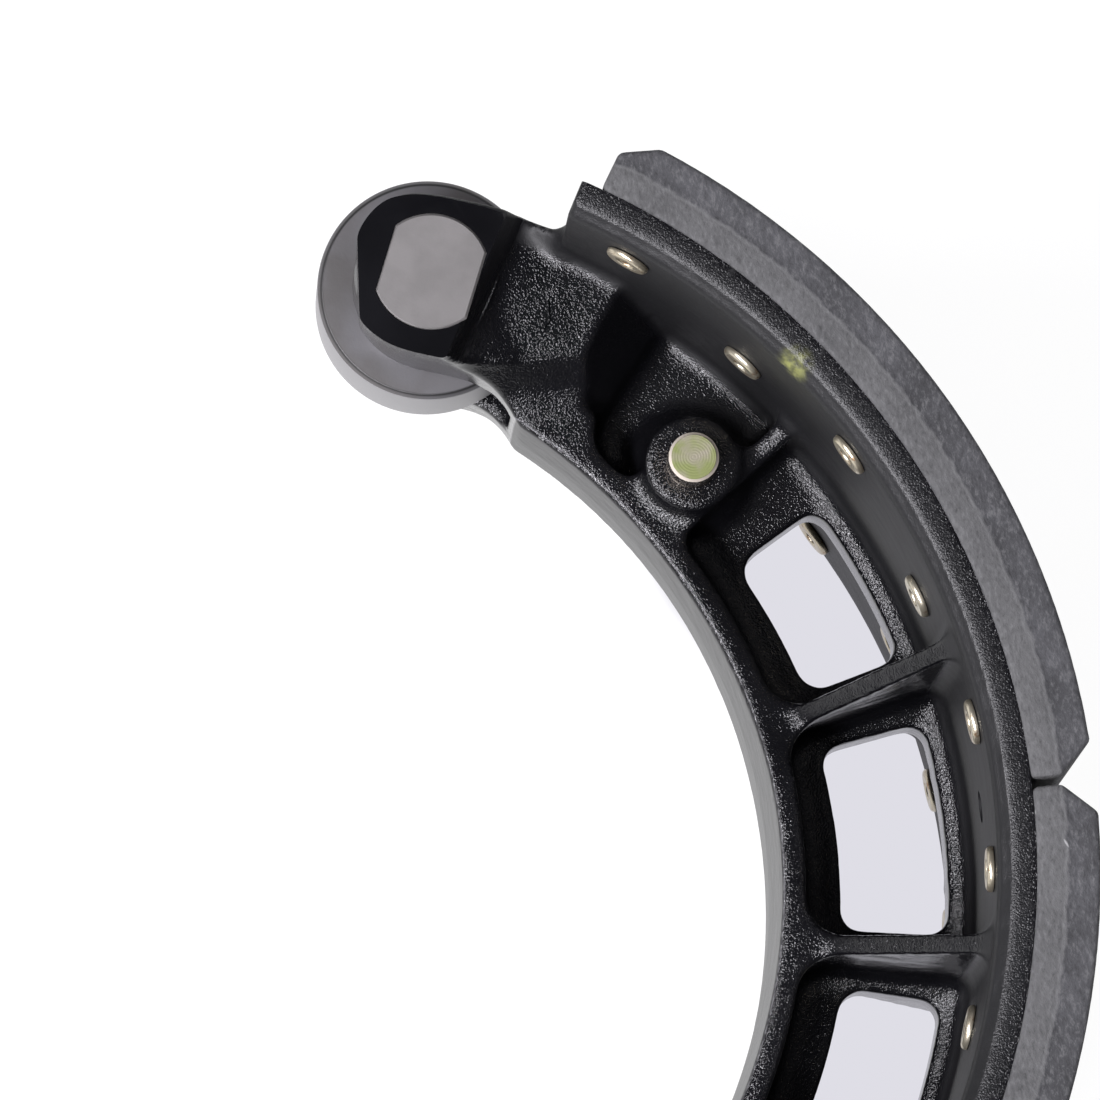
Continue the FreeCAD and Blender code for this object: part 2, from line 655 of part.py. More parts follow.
# ------------------------------------------------------------ lining blocks
def lining(label, sign, rivets):
    """One block: a moulded arc with chamfered ends, ground flanks and
    counterbored rivet holes."""
    bed, face_r = size("lining_bed_radius"), size("lining_outer_radius")
    a0, a1 = size("lining_gap_angle"), size("lining_end_angle")
    c0, c1 = size("lining_gap_chamfer"), size("lining_end_chamfer")
    q = [polar(bed, sign * a0), polar(size("lining_gap_chamfer_radius"), sign * a0),
         polar(face_r, sign * (a0 + c0)), polar(face_r, sign * (a1 - c1)),
         polar(size("lining_end_chamfer_radius"), sign * a1), polar(bed, sign * a1)]
    body = doc.addObject("PartDesign::Body", label + "_body")
    sk = body_sketch(body, label + "_side", "XY_Plane",
                     [Part.LineSegment(q[0], q[1]), Part.LineSegment(q[1], q[2]),
                      arc_about(ORIGIN, q[2], q[3]), Part.LineSegment(q[3], q[4]),
                      Part.LineSegment(q[4], q[5]), arc_about(ORIGIN, q[5], q[0])])
    pad_ = body.newObject("PartDesign::Pad", label + "_pad")
    pad_.Profile = sk
    pad_.Length = 180.0
    pad_.setExpression("Length", "dims.lining_width")
    pad_.Midplane = True
    doc.recompute()
    full = body.Shape.Volume
    # ground band along both flanks: a shallow turned step
    st, w2 = size("lining_step_radius"), 0.5 * size("lining_width")
    dp = size("lining_step_depth")
    ring = body_sketch(body, label + "_flank", "XZ_Plane",
                       lines([(st, w2 + 1), (st, w2), (st + 1.2, w2 - dp), (face_r + 1, w2 - dp),
                              (face_r + 1, w2 + 1)])
                       + lines([(st, -w2 - 1), (st, -w2), (st + 1.2, -w2 + dp),
                                (face_r + 1, -w2 + dp), (face_r + 1, -w2 - 1)]))
    groove = body.newObject("PartDesign::Groove", label + "_flank_step")
    groove.Profile = ring
    groove.ReferenceAxis = (ring, ["V_Axis"])
    groove.Angle = 360.0
    doc.recompute()
    if not body.Shape.Volume < full - 100:
        raise RuntimeError("flank step of %s cut nothing" % label)
    drills = []
    for i, (a, z) in enumerate(rivets):
        drills.append(radial("%s_shank_hole_%d" % (label, i), "dims.rivet_hole_radius",
                             "10", size("lining_bed_radius") - 1, a, z))
        drills.append(radial("%s_counterbore_%d" % (label, i), "dims.counterbore_radius",
                             "20", size("rivet_seat_radius"), a, z))
    done = cut(label, body, group("MultiFuse", label + "_drills", drills))
    return at_anchor(done, label)


lining("lining_cam_block", 1, cam_rivets)
lining("lining_anchor_block", -1, anchor_rivets)


# ------------------------------------------------------------------- rivets
def rivets(label, places):
    """Semi-tubular rivets: flat head in the lining, shank through the table,
    clinched end under it."""
    made = []
    for i, (a, z) in enumerate(places):
        tag = "%s_%d" % (label, i + 1)
        seat = size("rivet_seat_radius")
        # clinch sits on the curved table: start from the flat chord under it
        low = math.sqrt(ri * ri - size("rivet_clinch_radius") ** 2)
        tail = low - size("rivet_clinch_height")
        solid = group("MultiFuse", tag + "_solid", [
            radial(tag + "_head", "dims.rivet_head_radius", "dims.rivet_head_height", seat, a, z),
            radial(tag + "_shank", "dims.rivet_shank_radius",
                   "dims.rivet_seat_radius + 0.5 - %.6f" % (tail + 0.2), tail + 0.2, a, z),
            radial(tag + "_clinch", "dims.rivet_clinch_radius", "dims.rivet_clinch_height",
                   tail, a, z),
        ])
        hollow = radial(tag + "_hollow", "dims.rivet_tail_bore", "dims.rivet_tail_depth",
                        tail - 1, a, z)
        made.append(cut(tag, solid, hollow))
    ob = doc.addObject("Part::Compound", label)
    ob.Links = made
    return at_anchor(ob, label)


rivets("rivets_cam_block", cam_rivets)
rivets("rivets_anchor_block", anchor_rivets)


# ------------------------------------------------- roller, pins and the bush
def turned(label, profile, dx, dy):
    """Body turned about its own Z axis."""
    body = doc.addObject("PartDesign::Body", label + "_turned")
    sk = body_sketch(body, label + "_section", "XZ_Plane", profile)
    rev = body.newObject("PartDesign::Revolution", label + "_revolution")
    rev.Profile = sk
    rev.ReferenceAxis = (sk, ["V_Axis"])
    rev.Angle = 360.0
    return at_anchor(body, label, dx, dy), sk


def bind_distance(sk, name, geo, pos, kind, expression, value):
    """Distance of a sketch point from the sketch origin along one axis."""
    index = sk.addConstraint(Sketcher.Constraint(kind, -1, 1, geo, pos, value))
    sk.renameConstraint(index, name)
    sk.setExpression("Constraints." + name, expression)


rr, rw, rc, rb = (size("roller_radius"), size("roller_half_width"), size("roller_chamfer"),
                  size("roller_bore_radius"))
roller, roller_sk = turned("cam_roller", lines([
    (rb + 0.6, -rw), (rr - rc, -rw), (rr, -rw + rc), (rr, rw - rc), (rr - rc, rw),
    (rb + 0.6, rw), (rb, rw - 0.6), (rb, -rw + 0.6)]), "dims.pin_x", "dims.pin_y")
bind_distance(roller_sk, "tread", 2, 1, "DistanceX", "dims.roller_radius", rr)
bind_distance(roller_sk, "bore", 6, 1 + 1, "DistanceX", "dims.roller_bore_radius", rb)

pin_body = doc.addObject("PartDesign::Body", "roller_pin_body")
pin_sk = body_sketch(pin_body, "roller_pin_section", "XY_Plane",
                     flatted(size("pin_radius"), size("pin_flat")))
bind_distance(pin_sk, "flat", 0, 1, "DistanceX", "dims.pin_flat", size("pin_flat"))
pin_pad = pin_body.newObject("PartDesign::Pad", "roller_pin_pad")
pin_pad.Profile = pin_sk
pin_pad.Length = 84.0
pin_pad.setExpression("Length", "2 * dims.pin_half_length")
pin_pad.Midplane = True
doc.recompute()
pin_edges = ["Edge%d" % (i + 1) for i, e in enumerate(pin_pad.Shape.Edges)
             if e.BoundBox.ZLength < 0.01]
pin_chamfer = pin_body.newObject("PartDesign::Chamfer", "roller_pin_chamfer")
pin_chamfer.Base = (pin_pad, pin_edges)
pin_chamfer.Size = 0.6
pin_body.Placement = FreeCAD.Placement(
    V(0, 0, 0), FreeCAD.Rotation(V(0, 0, 1), size("pin_flat_angle")))
at_anchor(pin_body, "roller_pin", "dims.pin_x", "dims.pin_y")

sr, sl = size("spring_pin_radius"), size("spring_pin_half_length")
ss, sf = size("spring_shank_radius"), size("spring_boss_face")
spring_pin, spring_sk = turned("spring_pin", lines([
    (0, -sl), (sr - 0.9, -sl), (sr, -sl + 0.9), (sr, -sf - 0.3), (ss, -sf), (ss, sf),
    (sr, sf + 0.3), (sr, sl - 0.9), (sr - 0.9, sl), (0, sl)]),
    "(%s)" % sx, "(%s)" % sy)
bind_distance(spring_sk, "free_end", 2, 1, "DistanceX", "dims.spring_pin_radius", sr)
bind_distance(spring_sk, "shank", 4, 1, "DistanceX", "dims.spring_shank_radius", ss)

bo, bi, bl = size("bush_outer_radius"), size("bush_inner_radius"), size("bush_half_length")
bush, bush_sk = turned("anchor_bush", lines([
    (bi + 0.5, -bl), (bo - 0.4, -bl), (bo, -bl + 0.4), (bo, bl - 0.4), (bo - 0.4, bl),
    (bi + 0.5, bl), (bi, bl - 0.5), (bi, -bl + 0.5)]), "dims.anchor_x", "dims.anchor_y")
bind_distance(bush_sk, "outside", 2, 1, "DistanceX", "dims.bush_outer_radius", bo)
bind_distance(bush_sk, "inside", 6, 2, "DistanceX", "dims.bush_inner_radius", bi)

doc.recompute()

# ------------------------------------------------------------ check and write
NODES = ["casting_table", "casting_web", "casting_fork", "casting_anchor_end", "lining_cam_block", "lining_anchor_block", "rivets_cam_block",
         "rivets_anchor_block", "cam_roller", "roller_pin", "spring_pin", "anchor_bush"]
bad = [o.Name for o in doc.Objects if "Invalid" in o.State or "Error" in o.State]
if bad:
    for o in doc.Objects:
        if o.Name in bad:
            print(o.Name, o.State, o.getStatusString())
    raise RuntimeError("failed objects: " + ", ".join(bad))
os.makedirs("parts", exist_ok=True)
shapes = {}
for node in NODES:
    found = [o for o in doc.getObjectsByLabel(node)]
    if len(found) != 1:
        raise RuntimeError("one object expected for " + node)
    shape = found[0].Shape
    if shape.isNull() or not shape.isValid():
        raise RuntimeError("bad shape in " + node)
    if not shape.Solids:
        raise RuntimeError("no solid in " + node)
    shapes[node] = shape
for node, shape in shapes.items():
    shape.exportStep(os.path.join("parts", node + ".step"))
    bb = shape.BoundBox
    print("%-22s solids %3d  faces %4d  volume %10.1f  x %.1f..%.1f y %.1f..%.1f z %.1f..%.1f" % (
        node, len(shape.Solids), len(shape.Faces), shape.Volume,
        bb.XMin, bb.XMax, bb.YMin, bb.YMax, bb.ZMin, bb.ZMax))
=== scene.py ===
# Cast brake shoe: finish of every surface, floor, light and camera.
import math

import bpy
import bmesh
import numpy as np
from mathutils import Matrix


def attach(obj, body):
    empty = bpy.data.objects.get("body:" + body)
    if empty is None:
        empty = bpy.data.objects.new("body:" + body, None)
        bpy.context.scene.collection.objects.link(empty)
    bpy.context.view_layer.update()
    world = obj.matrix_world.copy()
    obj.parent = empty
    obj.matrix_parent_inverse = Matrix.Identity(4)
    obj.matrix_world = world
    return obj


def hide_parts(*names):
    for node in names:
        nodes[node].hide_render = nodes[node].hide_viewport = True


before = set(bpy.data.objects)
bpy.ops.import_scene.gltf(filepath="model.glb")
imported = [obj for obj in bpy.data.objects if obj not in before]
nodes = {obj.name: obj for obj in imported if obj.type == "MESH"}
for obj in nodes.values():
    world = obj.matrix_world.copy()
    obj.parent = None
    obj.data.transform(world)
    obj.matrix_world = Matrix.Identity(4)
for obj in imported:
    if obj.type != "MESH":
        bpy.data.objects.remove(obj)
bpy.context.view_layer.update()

import openvdb as vdb
from mathutils import Matrix, Vector

scene = bpy.context.scene

AX, AY = 56.03, -149.87            # anchor bore from the drum centre, mm
RIM_EDGE = 142.95                  # radius of the painted highlight line along the rim's edge
MM = 0.001


# ------------------------------------------------------------------ meshes
def arrays(ob):
    """Points in mm and triangles of a mesh, with the split vertices joined."""
    me = ob.data
    me.calc_loop_triangles()
    pts = np.empty(len(me.vertices) * 3, np.float32)
    me.vertices.foreach_get("co", pts)
    tri = np.empty(len(me.loop_triangles) * 3, np.int32)
    me.loop_triangles.foreach_get("vertices", tri)
    pts = pts.reshape(-1, 3).astype(float) * 1000
    tri = tri.reshape(-1, 3)
    _, first, inverse = np.unique(np.round(pts, 3), axis=0, return_index=True,
                                  return_inverse=True)
    tri = inverse.reshape(-1)[tri]
    good = (tri[:, 0] != tri[:, 1]) & (tri[:, 1] != tri[:, 2]) & (tri[:, 0] != tri[:, 2])
    return pts[first], tri[good]


def drum(points):
    """From the part's frame to the drum centre's, mm."""
    return points + np.array([AX, AY, 0.0])


def make_object(name, points, faces, link=True):
    me = bpy.data.meshes.new(name)
    points = np.asarray(points, np.float32)
    faces = [np.asarray(f) for f in faces if f is not None and len(f)]
    n_loops = sum(f.size for f in faces)
    n_polys = sum(len(f) for f in faces)
    me.vertices.add(len(points))
    me.vertices.foreach_set("co", (points * MM).ravel())
    me.loops.add(n_loops)
    me.polygons.add(n_polys)
    me.loops.foreach_set("vertex_index", np.concatenate([f.ravel() for f in faces]).astype(np.int32))
    starts, at = [], 0
    for f in faces:
        starts.append(at + np.arange(len(f)) * f.shape[1])
        at += f.size
    me.polygons.foreach_set("loop_start", np.concatenate(starts).astype(np.int32))
    me.update(calc_edges=True)
    me.validate()
    ob = bpy.data.objects.new(name, me)
    if link:
        scene.collection.objects.link(ob)
    return ob


def lathe_arrays(profile, centre=(0, 0, 0), axis=(0, 0, 1), segments=96):
    """Solid of revolution as points and triangles, mm; profile is a closed loop of
    (radius, height) that turns anticlockwise, points with radius 0 lie on the axis."""
    q = Vector((0, 0, 1)).rotation_difference(Vector(axis).normalized())
    c = Vector(centre)
    pts, rings = [], []
    for r, h in profile:
        if r < 1e-6:
            rings.append([len(pts)])
            pts.append(q @ Vector((0, 0, h)) + c)
            continue
        ring = []
        for i in range(segments):
            a = 2 * math.pi * i / segments
            ring.append(len(pts))
            pts.append(q @ Vector((r * math.cos(a), r * math.sin(a), h)) + c)
        rings.append(ring)
    tri = []
    for a, b in zip(rings, rings[1:] + rings[:1]):
        for i in range(segments):
            j = (i + 1) % segments
            if len(a) == 1 and len(b) == 1:
                continue
            if len(a) == 1:
                tri.append((a[0], b[j], b[i]))
            elif len(b) == 1:
                tri.append((a[i], a[j], b[0]))
            else:
                tri += [(a[i], a[j], b[j]), (a[i], b[j], b[i])]
    return np.array([tuple(p) for p in pts]), np.array(tri)


def arc(centre, radius, a0, a1, steps):
    """Points of an arc in a lathe profile, angles in degrees."""
    return [(centre[0] + radius * math.cos(math.radians(a0 + (a1 - a0) * i / steps)),
             centre[1] + radius * math.sin(math.radians(a0 + (a1 - a0) * i / steps)))
            for i in range(steps + 1)]


def cylinder_arrays(centre, axis, radius, low, high, segments=48):
    """Closed cylinder as points and triangles, mm."""
    q = Vector((0, 0, 1)).rotation_difference(Vector(axis).normalized())
    c = Vector(centre)
    pts, tri = [], []
    for h in (low, high):
        for i in range(segments):
            a = 2 * math.pi * i / segments
            pts.append(q @ Vector((radius * math.cos(a), radius * math.sin(a), h)) + c)
    pts.append(q @ Vector((0, 0, low)) + c)
    pts.append(q @ Vector((0, 0, high)) + c)
    n = segments
    for i in range(n):
        j = (i + 1) % n
        tri += [(i, j, j + n), (i, j + n, i + n), (2 * n, j, i), (2 * n + 1, i + n, j + n)]
    return np.array([tuple(p) for p in pts]), np.array(tri)


def grown_face(pts, tri, keep, z_in, z_out):
    """Closed prism on the flat faces where keep is true, from z_in to z_out."""
    t = tri[keep]
    used, t = np.unique(t, return_inverse=True)
    t = t.reshape(-1, 3)
    base = pts[used]
    n = len(base)
    lower, upper = base.copy(), base.copy()
    lower[:, 2], upper[:, 2] = z_in, z_out
    out_up = z_out > z_in
    a, b, c = base[t[:, 0]], base[t[:, 1]], base[t[:, 2]]
    up = ((b - a)[:, 0] * (c - a)[:, 1] - (b - a)[:, 1] * (c - a)[:, 0]) > 0
    t = np.where((up == out_up)[:, None], t, t[:, ::-1])
    edges = {}
    for f in t:
        for k in range(3):
            e = (int(f[k]), int(f[(k + 1) % 3]))
            edges[e] = edges.get(e, 0) + 1
    walls = []
    for (i, j) in edges:
        if (j, i) not in edges:
            walls += [(i, i + n, j + n), (i, j + n, j)]
    walls = np.array(walls)
    walls = walls[:, ::-1]
    return np.vstack([lower, upper]), np.vstack([t[:, ::-1], t + n, walls])


class Field:
    """Signed distances on a regular grid, mm."""

    def __init__(self, low, high, voxel, band):
        self.voxel, self.band = voxel, band
        self.lo = np.floor(np.array(low) / voxel).astype(int) - band - 2
        hi = np.ceil(np.array(high) / voxel).astype(int) + band + 2
        self.shape = tuple(int(v) for v in hi - self.lo + 1)
        self.transform = vdb.createLinearTransform(voxel)

    def read(self, points, tri, quads=None):
        g = self.grid(points, tri, quads)
        a = np.full(self.shape, self.band * self.voxel, np.float32)
        g.copyToArray(a, ijk=tuple(int(v) for v in self.lo))
        return a

    def grid(self, points, tri, quads=None):
        return vdb.FloatGrid.createLevelSetFromPolygons(
            np.ascontiguousarray(points, np.float32),
            triangles=None if tri is None or not len(tri) else np.ascontiguousarray(tri, np.uint32),
            quads=None if quads is None or not len(quads) else np.ascontiguousarray(quads, np.uint32),
            transform=self.transform, halfWidth=float(self.band))

    def coordinates(self):
        ax = [(np.arange(n) + l) * self.voxel for n, l in zip(self.shape, self.lo)]
        return np.meshgrid(*ax, indexing="ij", sparse=True)

    def surface(self, values, iso, adaptivity=0.0):
        g = vdb.FloatGrid(self.band * self.voxel)
        g.transform = self.transform
        g.gridClass = vdb.GridClass.LEVEL_SET
        g.copyFromArray(np.ascontiguousarray(values, np.float32), ijk=tuple(int(v) for v in self.lo))
        return g.convertToPolygons(isovalue=float(iso), adaptivity=float(adaptivity))

    def shift(self, mesh, iso, adaptivity=0.0):
        """The surface at a distance from another one, outward positive."""
        return self.grid(mesh[0], mesh[1], mesh[2]).convertToPolygons(
            isovalue=float(iso), adaptivity=float(adaptivity))


def triangles_of(mesh):
    pts, tri, quads = mesh
    out = []
    if len(tri):
        out.append(tri)
    if len(quads):
        out.append(quads[:, [0, 1, 2]])
        out.append(quads[:, [0, 2, 3]])
    return pts, np.vstack(out)


def boolean(ob, cutter, operation="DIFFERENCE", solver="MANIFOLD"):
    mod = ob.modifiers.new("cut", "BOOLEAN")
    mod.operation = operation
    mod.solver = solver
    mod.object = cutter
    apply_modifiers(ob)
    bpy.data.objects.remove(cutter)


def apply_modifiers(ob):
    bpy.context.view_layer.update()
    deps = bpy.context.evaluated_depsgraph_get()
    new = bpy.data.meshes.new_from_object(ob.evaluated_get(deps))
    old = ob.data
    ob.modifiers.clear()
    ob.data = new
    new.name = ob.name
    bpy.data.meshes.remove(old)


def face_count(ob):
    ob.data.calc_loop_triangles()
    return len(ob.data.loop_triangles)


# ------------------------------------------------ the casting as it was cast
PIN = (56.73 - AX, 151.74 - AY)
SPRING = (153.5 * math.cos(math.radians(39.7)) - AX, 153.5 * math.sin(math.radians(39.7)) - AY)
PAD_N = np.array([0.875, -0.485]) / math.hypot(0.875, 0.485)
PAD_AT = np.array([58.6 - AX, 130.4 - AY])


CASTING = ("casting_table", "casting_web", "casting_fork", "casting_anchor_end")


def cast_surface(voxel=0.9, fillet=3.4, edge=0.65):
    """The raw casting: fillets in every corner, soft edges, stock on what is machined."""
    solids = {name: arrays(nodes[name]) for name in CASTING}
    band = int(math.ceil((fillet + 1.5) / voxel)) + 2
    low = np.min([p.min(0) for p, t in solids.values()], axis=0)
    high = np.max([p.max(0) for p, t in solids.values()], axis=0)
    high = high + np.array([4.0, 0.0, 0.0])
    field = Field(low - fillet - 2, high + fillet + 2, voxel, band)
    phi = np.full(field.shape, field.band * voxel, np.float32)
    for pts, tri in solids.values():
        np.minimum(phi, field.read(pts, tri), out=phi)
    x, y, z = field.coordinates()

    def add(other):
        np.minimum(phi, other, out=phi)

    # bores are filled first and drilled again at the end
    for side in (1, -1):
        for centre, radius, a, b in ((PIN, 15.6, 14.9, 45.0), (SPRING, 7.3, 0.0, 26.4),
                                     ((0.0, 0.0), 18.6, 0.0, 43.0)):
            zs = sorted((side * a, side * b))
            add(field.read(*cylinder_arrays((centre[0], centre[1], 0), (0, 0, 1), radius, *zs)))
    # the machined faces stand proud before they are cut
    d_pad = (x - PAD_AT[0]) * PAD_N[0] + (y - PAD_AT[1]) * PAD_N[1]
    pts, tri = joined([solids["casting_fork"], solids["casting_anchor_end"]])
    for side in (1, -1):
        on_ear = np.all(np.abs(pts[tri][:, :, 2] - side * 42.0) < 0.02, axis=1)
        if on_ear.any():
            raised = field.read(*grown_face(pts, tri, on_ear, side * 41.0, side * 45.0))
            slope = ((side * z - 37.4) + (d_pad - 3.5) * 2.4) / math.hypot(1.0, 2.4)
            add(np.maximum(raised, slope.astype(np.float32)))
        on_eye = np.all(np.abs(pts[tri][:, :, 2] - side * 40.0) < 0.02, axis=1)
        on_eye &= np.all(np.hypot(pts[tri][:, :, 0], pts[tri][:, :, 1]) < 30.0, axis=1)
        if on_eye.any():
            add(field.read(*grown_face(pts, tri, on_eye, side * 39.0, side * 43.0)))
    # the table, with its rivet holes filled and stock on the turned outside
    xd, yd = x + AX, y + AY
    radius = np.sqrt(xd * xd + yd * yd)
    turn = np.arctan2(yd, xd)
    reach = (np.abs(turn) - math.radians(59.8)) * 184.0
    plate = np.maximum(np.maximum(179.0 - radius, radius - 191.5), reach)
    plate = np.maximum(plate, np.abs(z) - 85.4)
    rim = np.maximum(np.maximum(183.5 - radius, radius - 191.5), reach)
    rim = np.maximum(rim, np.abs(z) - 89.0)
    add(plate.astype(np.float32))
    add(rim.astype(np.float32))
    np.clip(phi, -field.band * voxel, field.band * voxel, out=phi)

    mesh = field.surface(phi, fillet)
    mesh = field.shift(mesh, -(fillet + edge))
    mesh = field.shift(mesh, edge)
    return triangles_of(mesh)


def polygon_prism(outline, low, high):
    """Closed prism on a convex outline, as points and polygons joined in one object."""
    n = len(outline)
    area = sum(outline[i][0] * outline[(i + 1) % n][1] - outline[(i + 1) % n][0] * outline[i][1]
               for i in range(n))
    if area < 0:
        outline = outline[::-1]
    pts = np.array([(a, b, low) for a, b in outline] + [(a, b, high) for a, b in outline])
    fan = [(0, i, i + 1) for i in range(1, n - 1)]
    tri = [(a, c, b) for a, b, c in fan] + [(a + n, b + n, c + n) for a, b, c in fan]
    for i in range(n):
        j = (i + 1) % n
        tri += [(i, j, j + n), (i, j + n, i + n)]
    return pts, np.array(tri)


def joined(parts):
    pts, tri, n = [], [], 0
    for p, t in parts:
        pts.append(p)
        tri.append(t + n)
        n += len(p)
    return np.vstack(pts), np.vstack(tri)


def ring_arrays(centre, r0, r1, low, high, a0, a1, steps):
    """Closed sector of a ring about a Z axis, angles in degrees."""
    pts, tri = [], []
    for i in range(steps + 1):
        a = math.radians(a0 + (a1 - a0) * i / steps)
        for r, h in ((r0, low), (r1, low), (r1, high), (r0, high)):
            pts.append((centre[0] + r * math.cos(a), centre[1] + r * math.sin(a), h))
    for i in range(steps):
        for k in range(4):
            a, b = 4 * i + k, 4 * i + (k + 1) % 4
            tri += [(a, b, b + 4), (a, b + 4, a + 4)]
    e = 4 * steps
    tri += [(0, 2, 1), (0, 3, 2), (e, e + 1, e + 2), (e, e + 2, e + 3)]
    tri = np.array(tri)
    return np.array(pts), tri[:, ::-1]


def machine(ob):
    """Turned, milled and drilled faces of the casting, with their sharp edges."""
    boolean(ob, make_object("cut_bed", *wrap(ring_arrays((-AX, -AY), 188.5, 198.0, -95, 95, -66, 66, 660))))
    up = np.array([-PAD_N[1], PAD_N[0]])
    q = [PAD_AT + 3.0 * PAD_N - 20 * up, PAD_AT + 3.0 * PAD_N + 55 * up,
         PAD_AT - 60.0 * PAD_N + 55 * up, PAD_AT - 60.0 * PAD_N - 20 * up]
    faces = [polygon_prism(q, 42.0, 50.0), polygon_prism(q, -50.0, -42.0)]
    # the upper part of the slope beside the machined ear face is cut to its own plane
    section = [(0.0, 42.0), (3.5, 37.4), (4.6, 37.7), (14.0, 52.0), (-6.0, 49.9)]
    for side in (1, -1):
        ring = [[tuple(PAD_AT + d * PAD_N + h * up) + (side * z,) for d, z in section] for h in (-20, 55)]
        n = len(section)
        tri = [(0, i, i + 1) for i in range(1, n - 1)] + [(n, n + i + 1, n + i) for i in range(1, n - 1)]
        for i in range(n):
            j = (i + 1) % n
            tri += [(i, i + n, j + n), (i, j + n, j)]
        tri = np.array(tri)
        a, b, c = [np.array((ring[0] + ring[1]))[tri[:, k]] for k in range(3)]
        if np.einsum("ij,ij->i", a, np.cross(b, c)).sum() < 0:
            tri = tri[:, ::-1]
        boolean(ob, make_object("cut_slope", np.array(ring[0] + ring[1]), [tri]))
    disc = [(32 * math.cos(2 * math.pi * i / 96), 32 * math.sin(2 * math.pi * i / 96)) for i in range(96)]
    faces += [polygon_prism(disc, 40.0, 50.0), polygon_prism(disc, -50.0, -40.0)]
    boolean(ob, make_object("cut_faces", *wrap(joined(faces))))
    flat, r, turn = 12.17, 15.02, math.radians(-23.3)
    half = math.acos(flat / r)
    outline = []
    for base in (0.0, math.pi):
        for i in range(41):
            a = base + half + (math.pi - 2 * half) * i / 40
            outline.append((PIN[0] + r * math.cos(a + turn), PIN[1] + r * math.sin(a + turn)))
    holes = [polygon_prism(outline, -60, 60),
             cylinder_arrays((SPRING[0], SPRING[1], 0), (0, 0, 1), 6.7, -60, 60, 72),
             cylinder_arrays((0, 0, 0), (0, 0, 1), 18.0, -60, 60, 128)]
    for z, angles in ((73.0, (6, 30, 54)), (46.0, (0, 18, 42))):
        for a in angles:
            for sa in ((1, -1) if a else (1,)):
                for sz in (1, -1):
                    t = math.radians(sa * a)
                    holes.append(cylinder_arrays((-AX, -AY, sz * z), (math.cos(t), math.sin(t), 0),
                                                 4.1, 170, 196, 40))
    boolean(ob, make_object("cut_holes", *wrap(joined(holes))))


def wrap(arrays_pair):
    return arrays_pair[0], [arrays_pair[1]]


def casting_piece(limit=178000):
    pts, tri = cast_surface()
    ob = make_object("cast_shoe", pts, [tri])
    mod = ob.modifiers.new("thin", "DECIMATE")
    mod.ratio = min(1.0, limit / len(tri))
    apply_modifiers(ob)
    machine(ob)
    return ob


def plain_piece(name, node, voxel, fillet, edge, limit, plugs=()):
    """A node's own solid with its sharp edges taken off."""
    pts, tri = arrays(nodes[node])
    band = int(math.ceil((max(fillet, edge) + 1.0) / voxel)) + 3
    field = Field(pts.min(0) - 3, pts.max(0) + 3, voxel, band)
    phi = field.read(pts, tri)
    if fillet:
        mesh = field.surface(phi, fillet)
        mesh = field.shift(mesh, -(fillet + edge))
    else:
        mesh = field.surface(phi, -edge)
    mesh = field.shift(mesh, edge)
    p, t = triangles_of(mesh)
    ob = make_object(name, p, [t])
    if len(t) > limit:
        mod = ob.modifiers.new("thin", "DECIMATE")
        mod.ratio = limit / len(t)
        apply_modifiers(ob)
    return ob


def smooth(ob, angle=35.0):
    me = ob.data
    me.polygons.foreach_set("use_smooth", np.ones(len(me.polygons), bool))
    me.set_sharp_from_angle(angle=math.radians(angle))
    me.update()


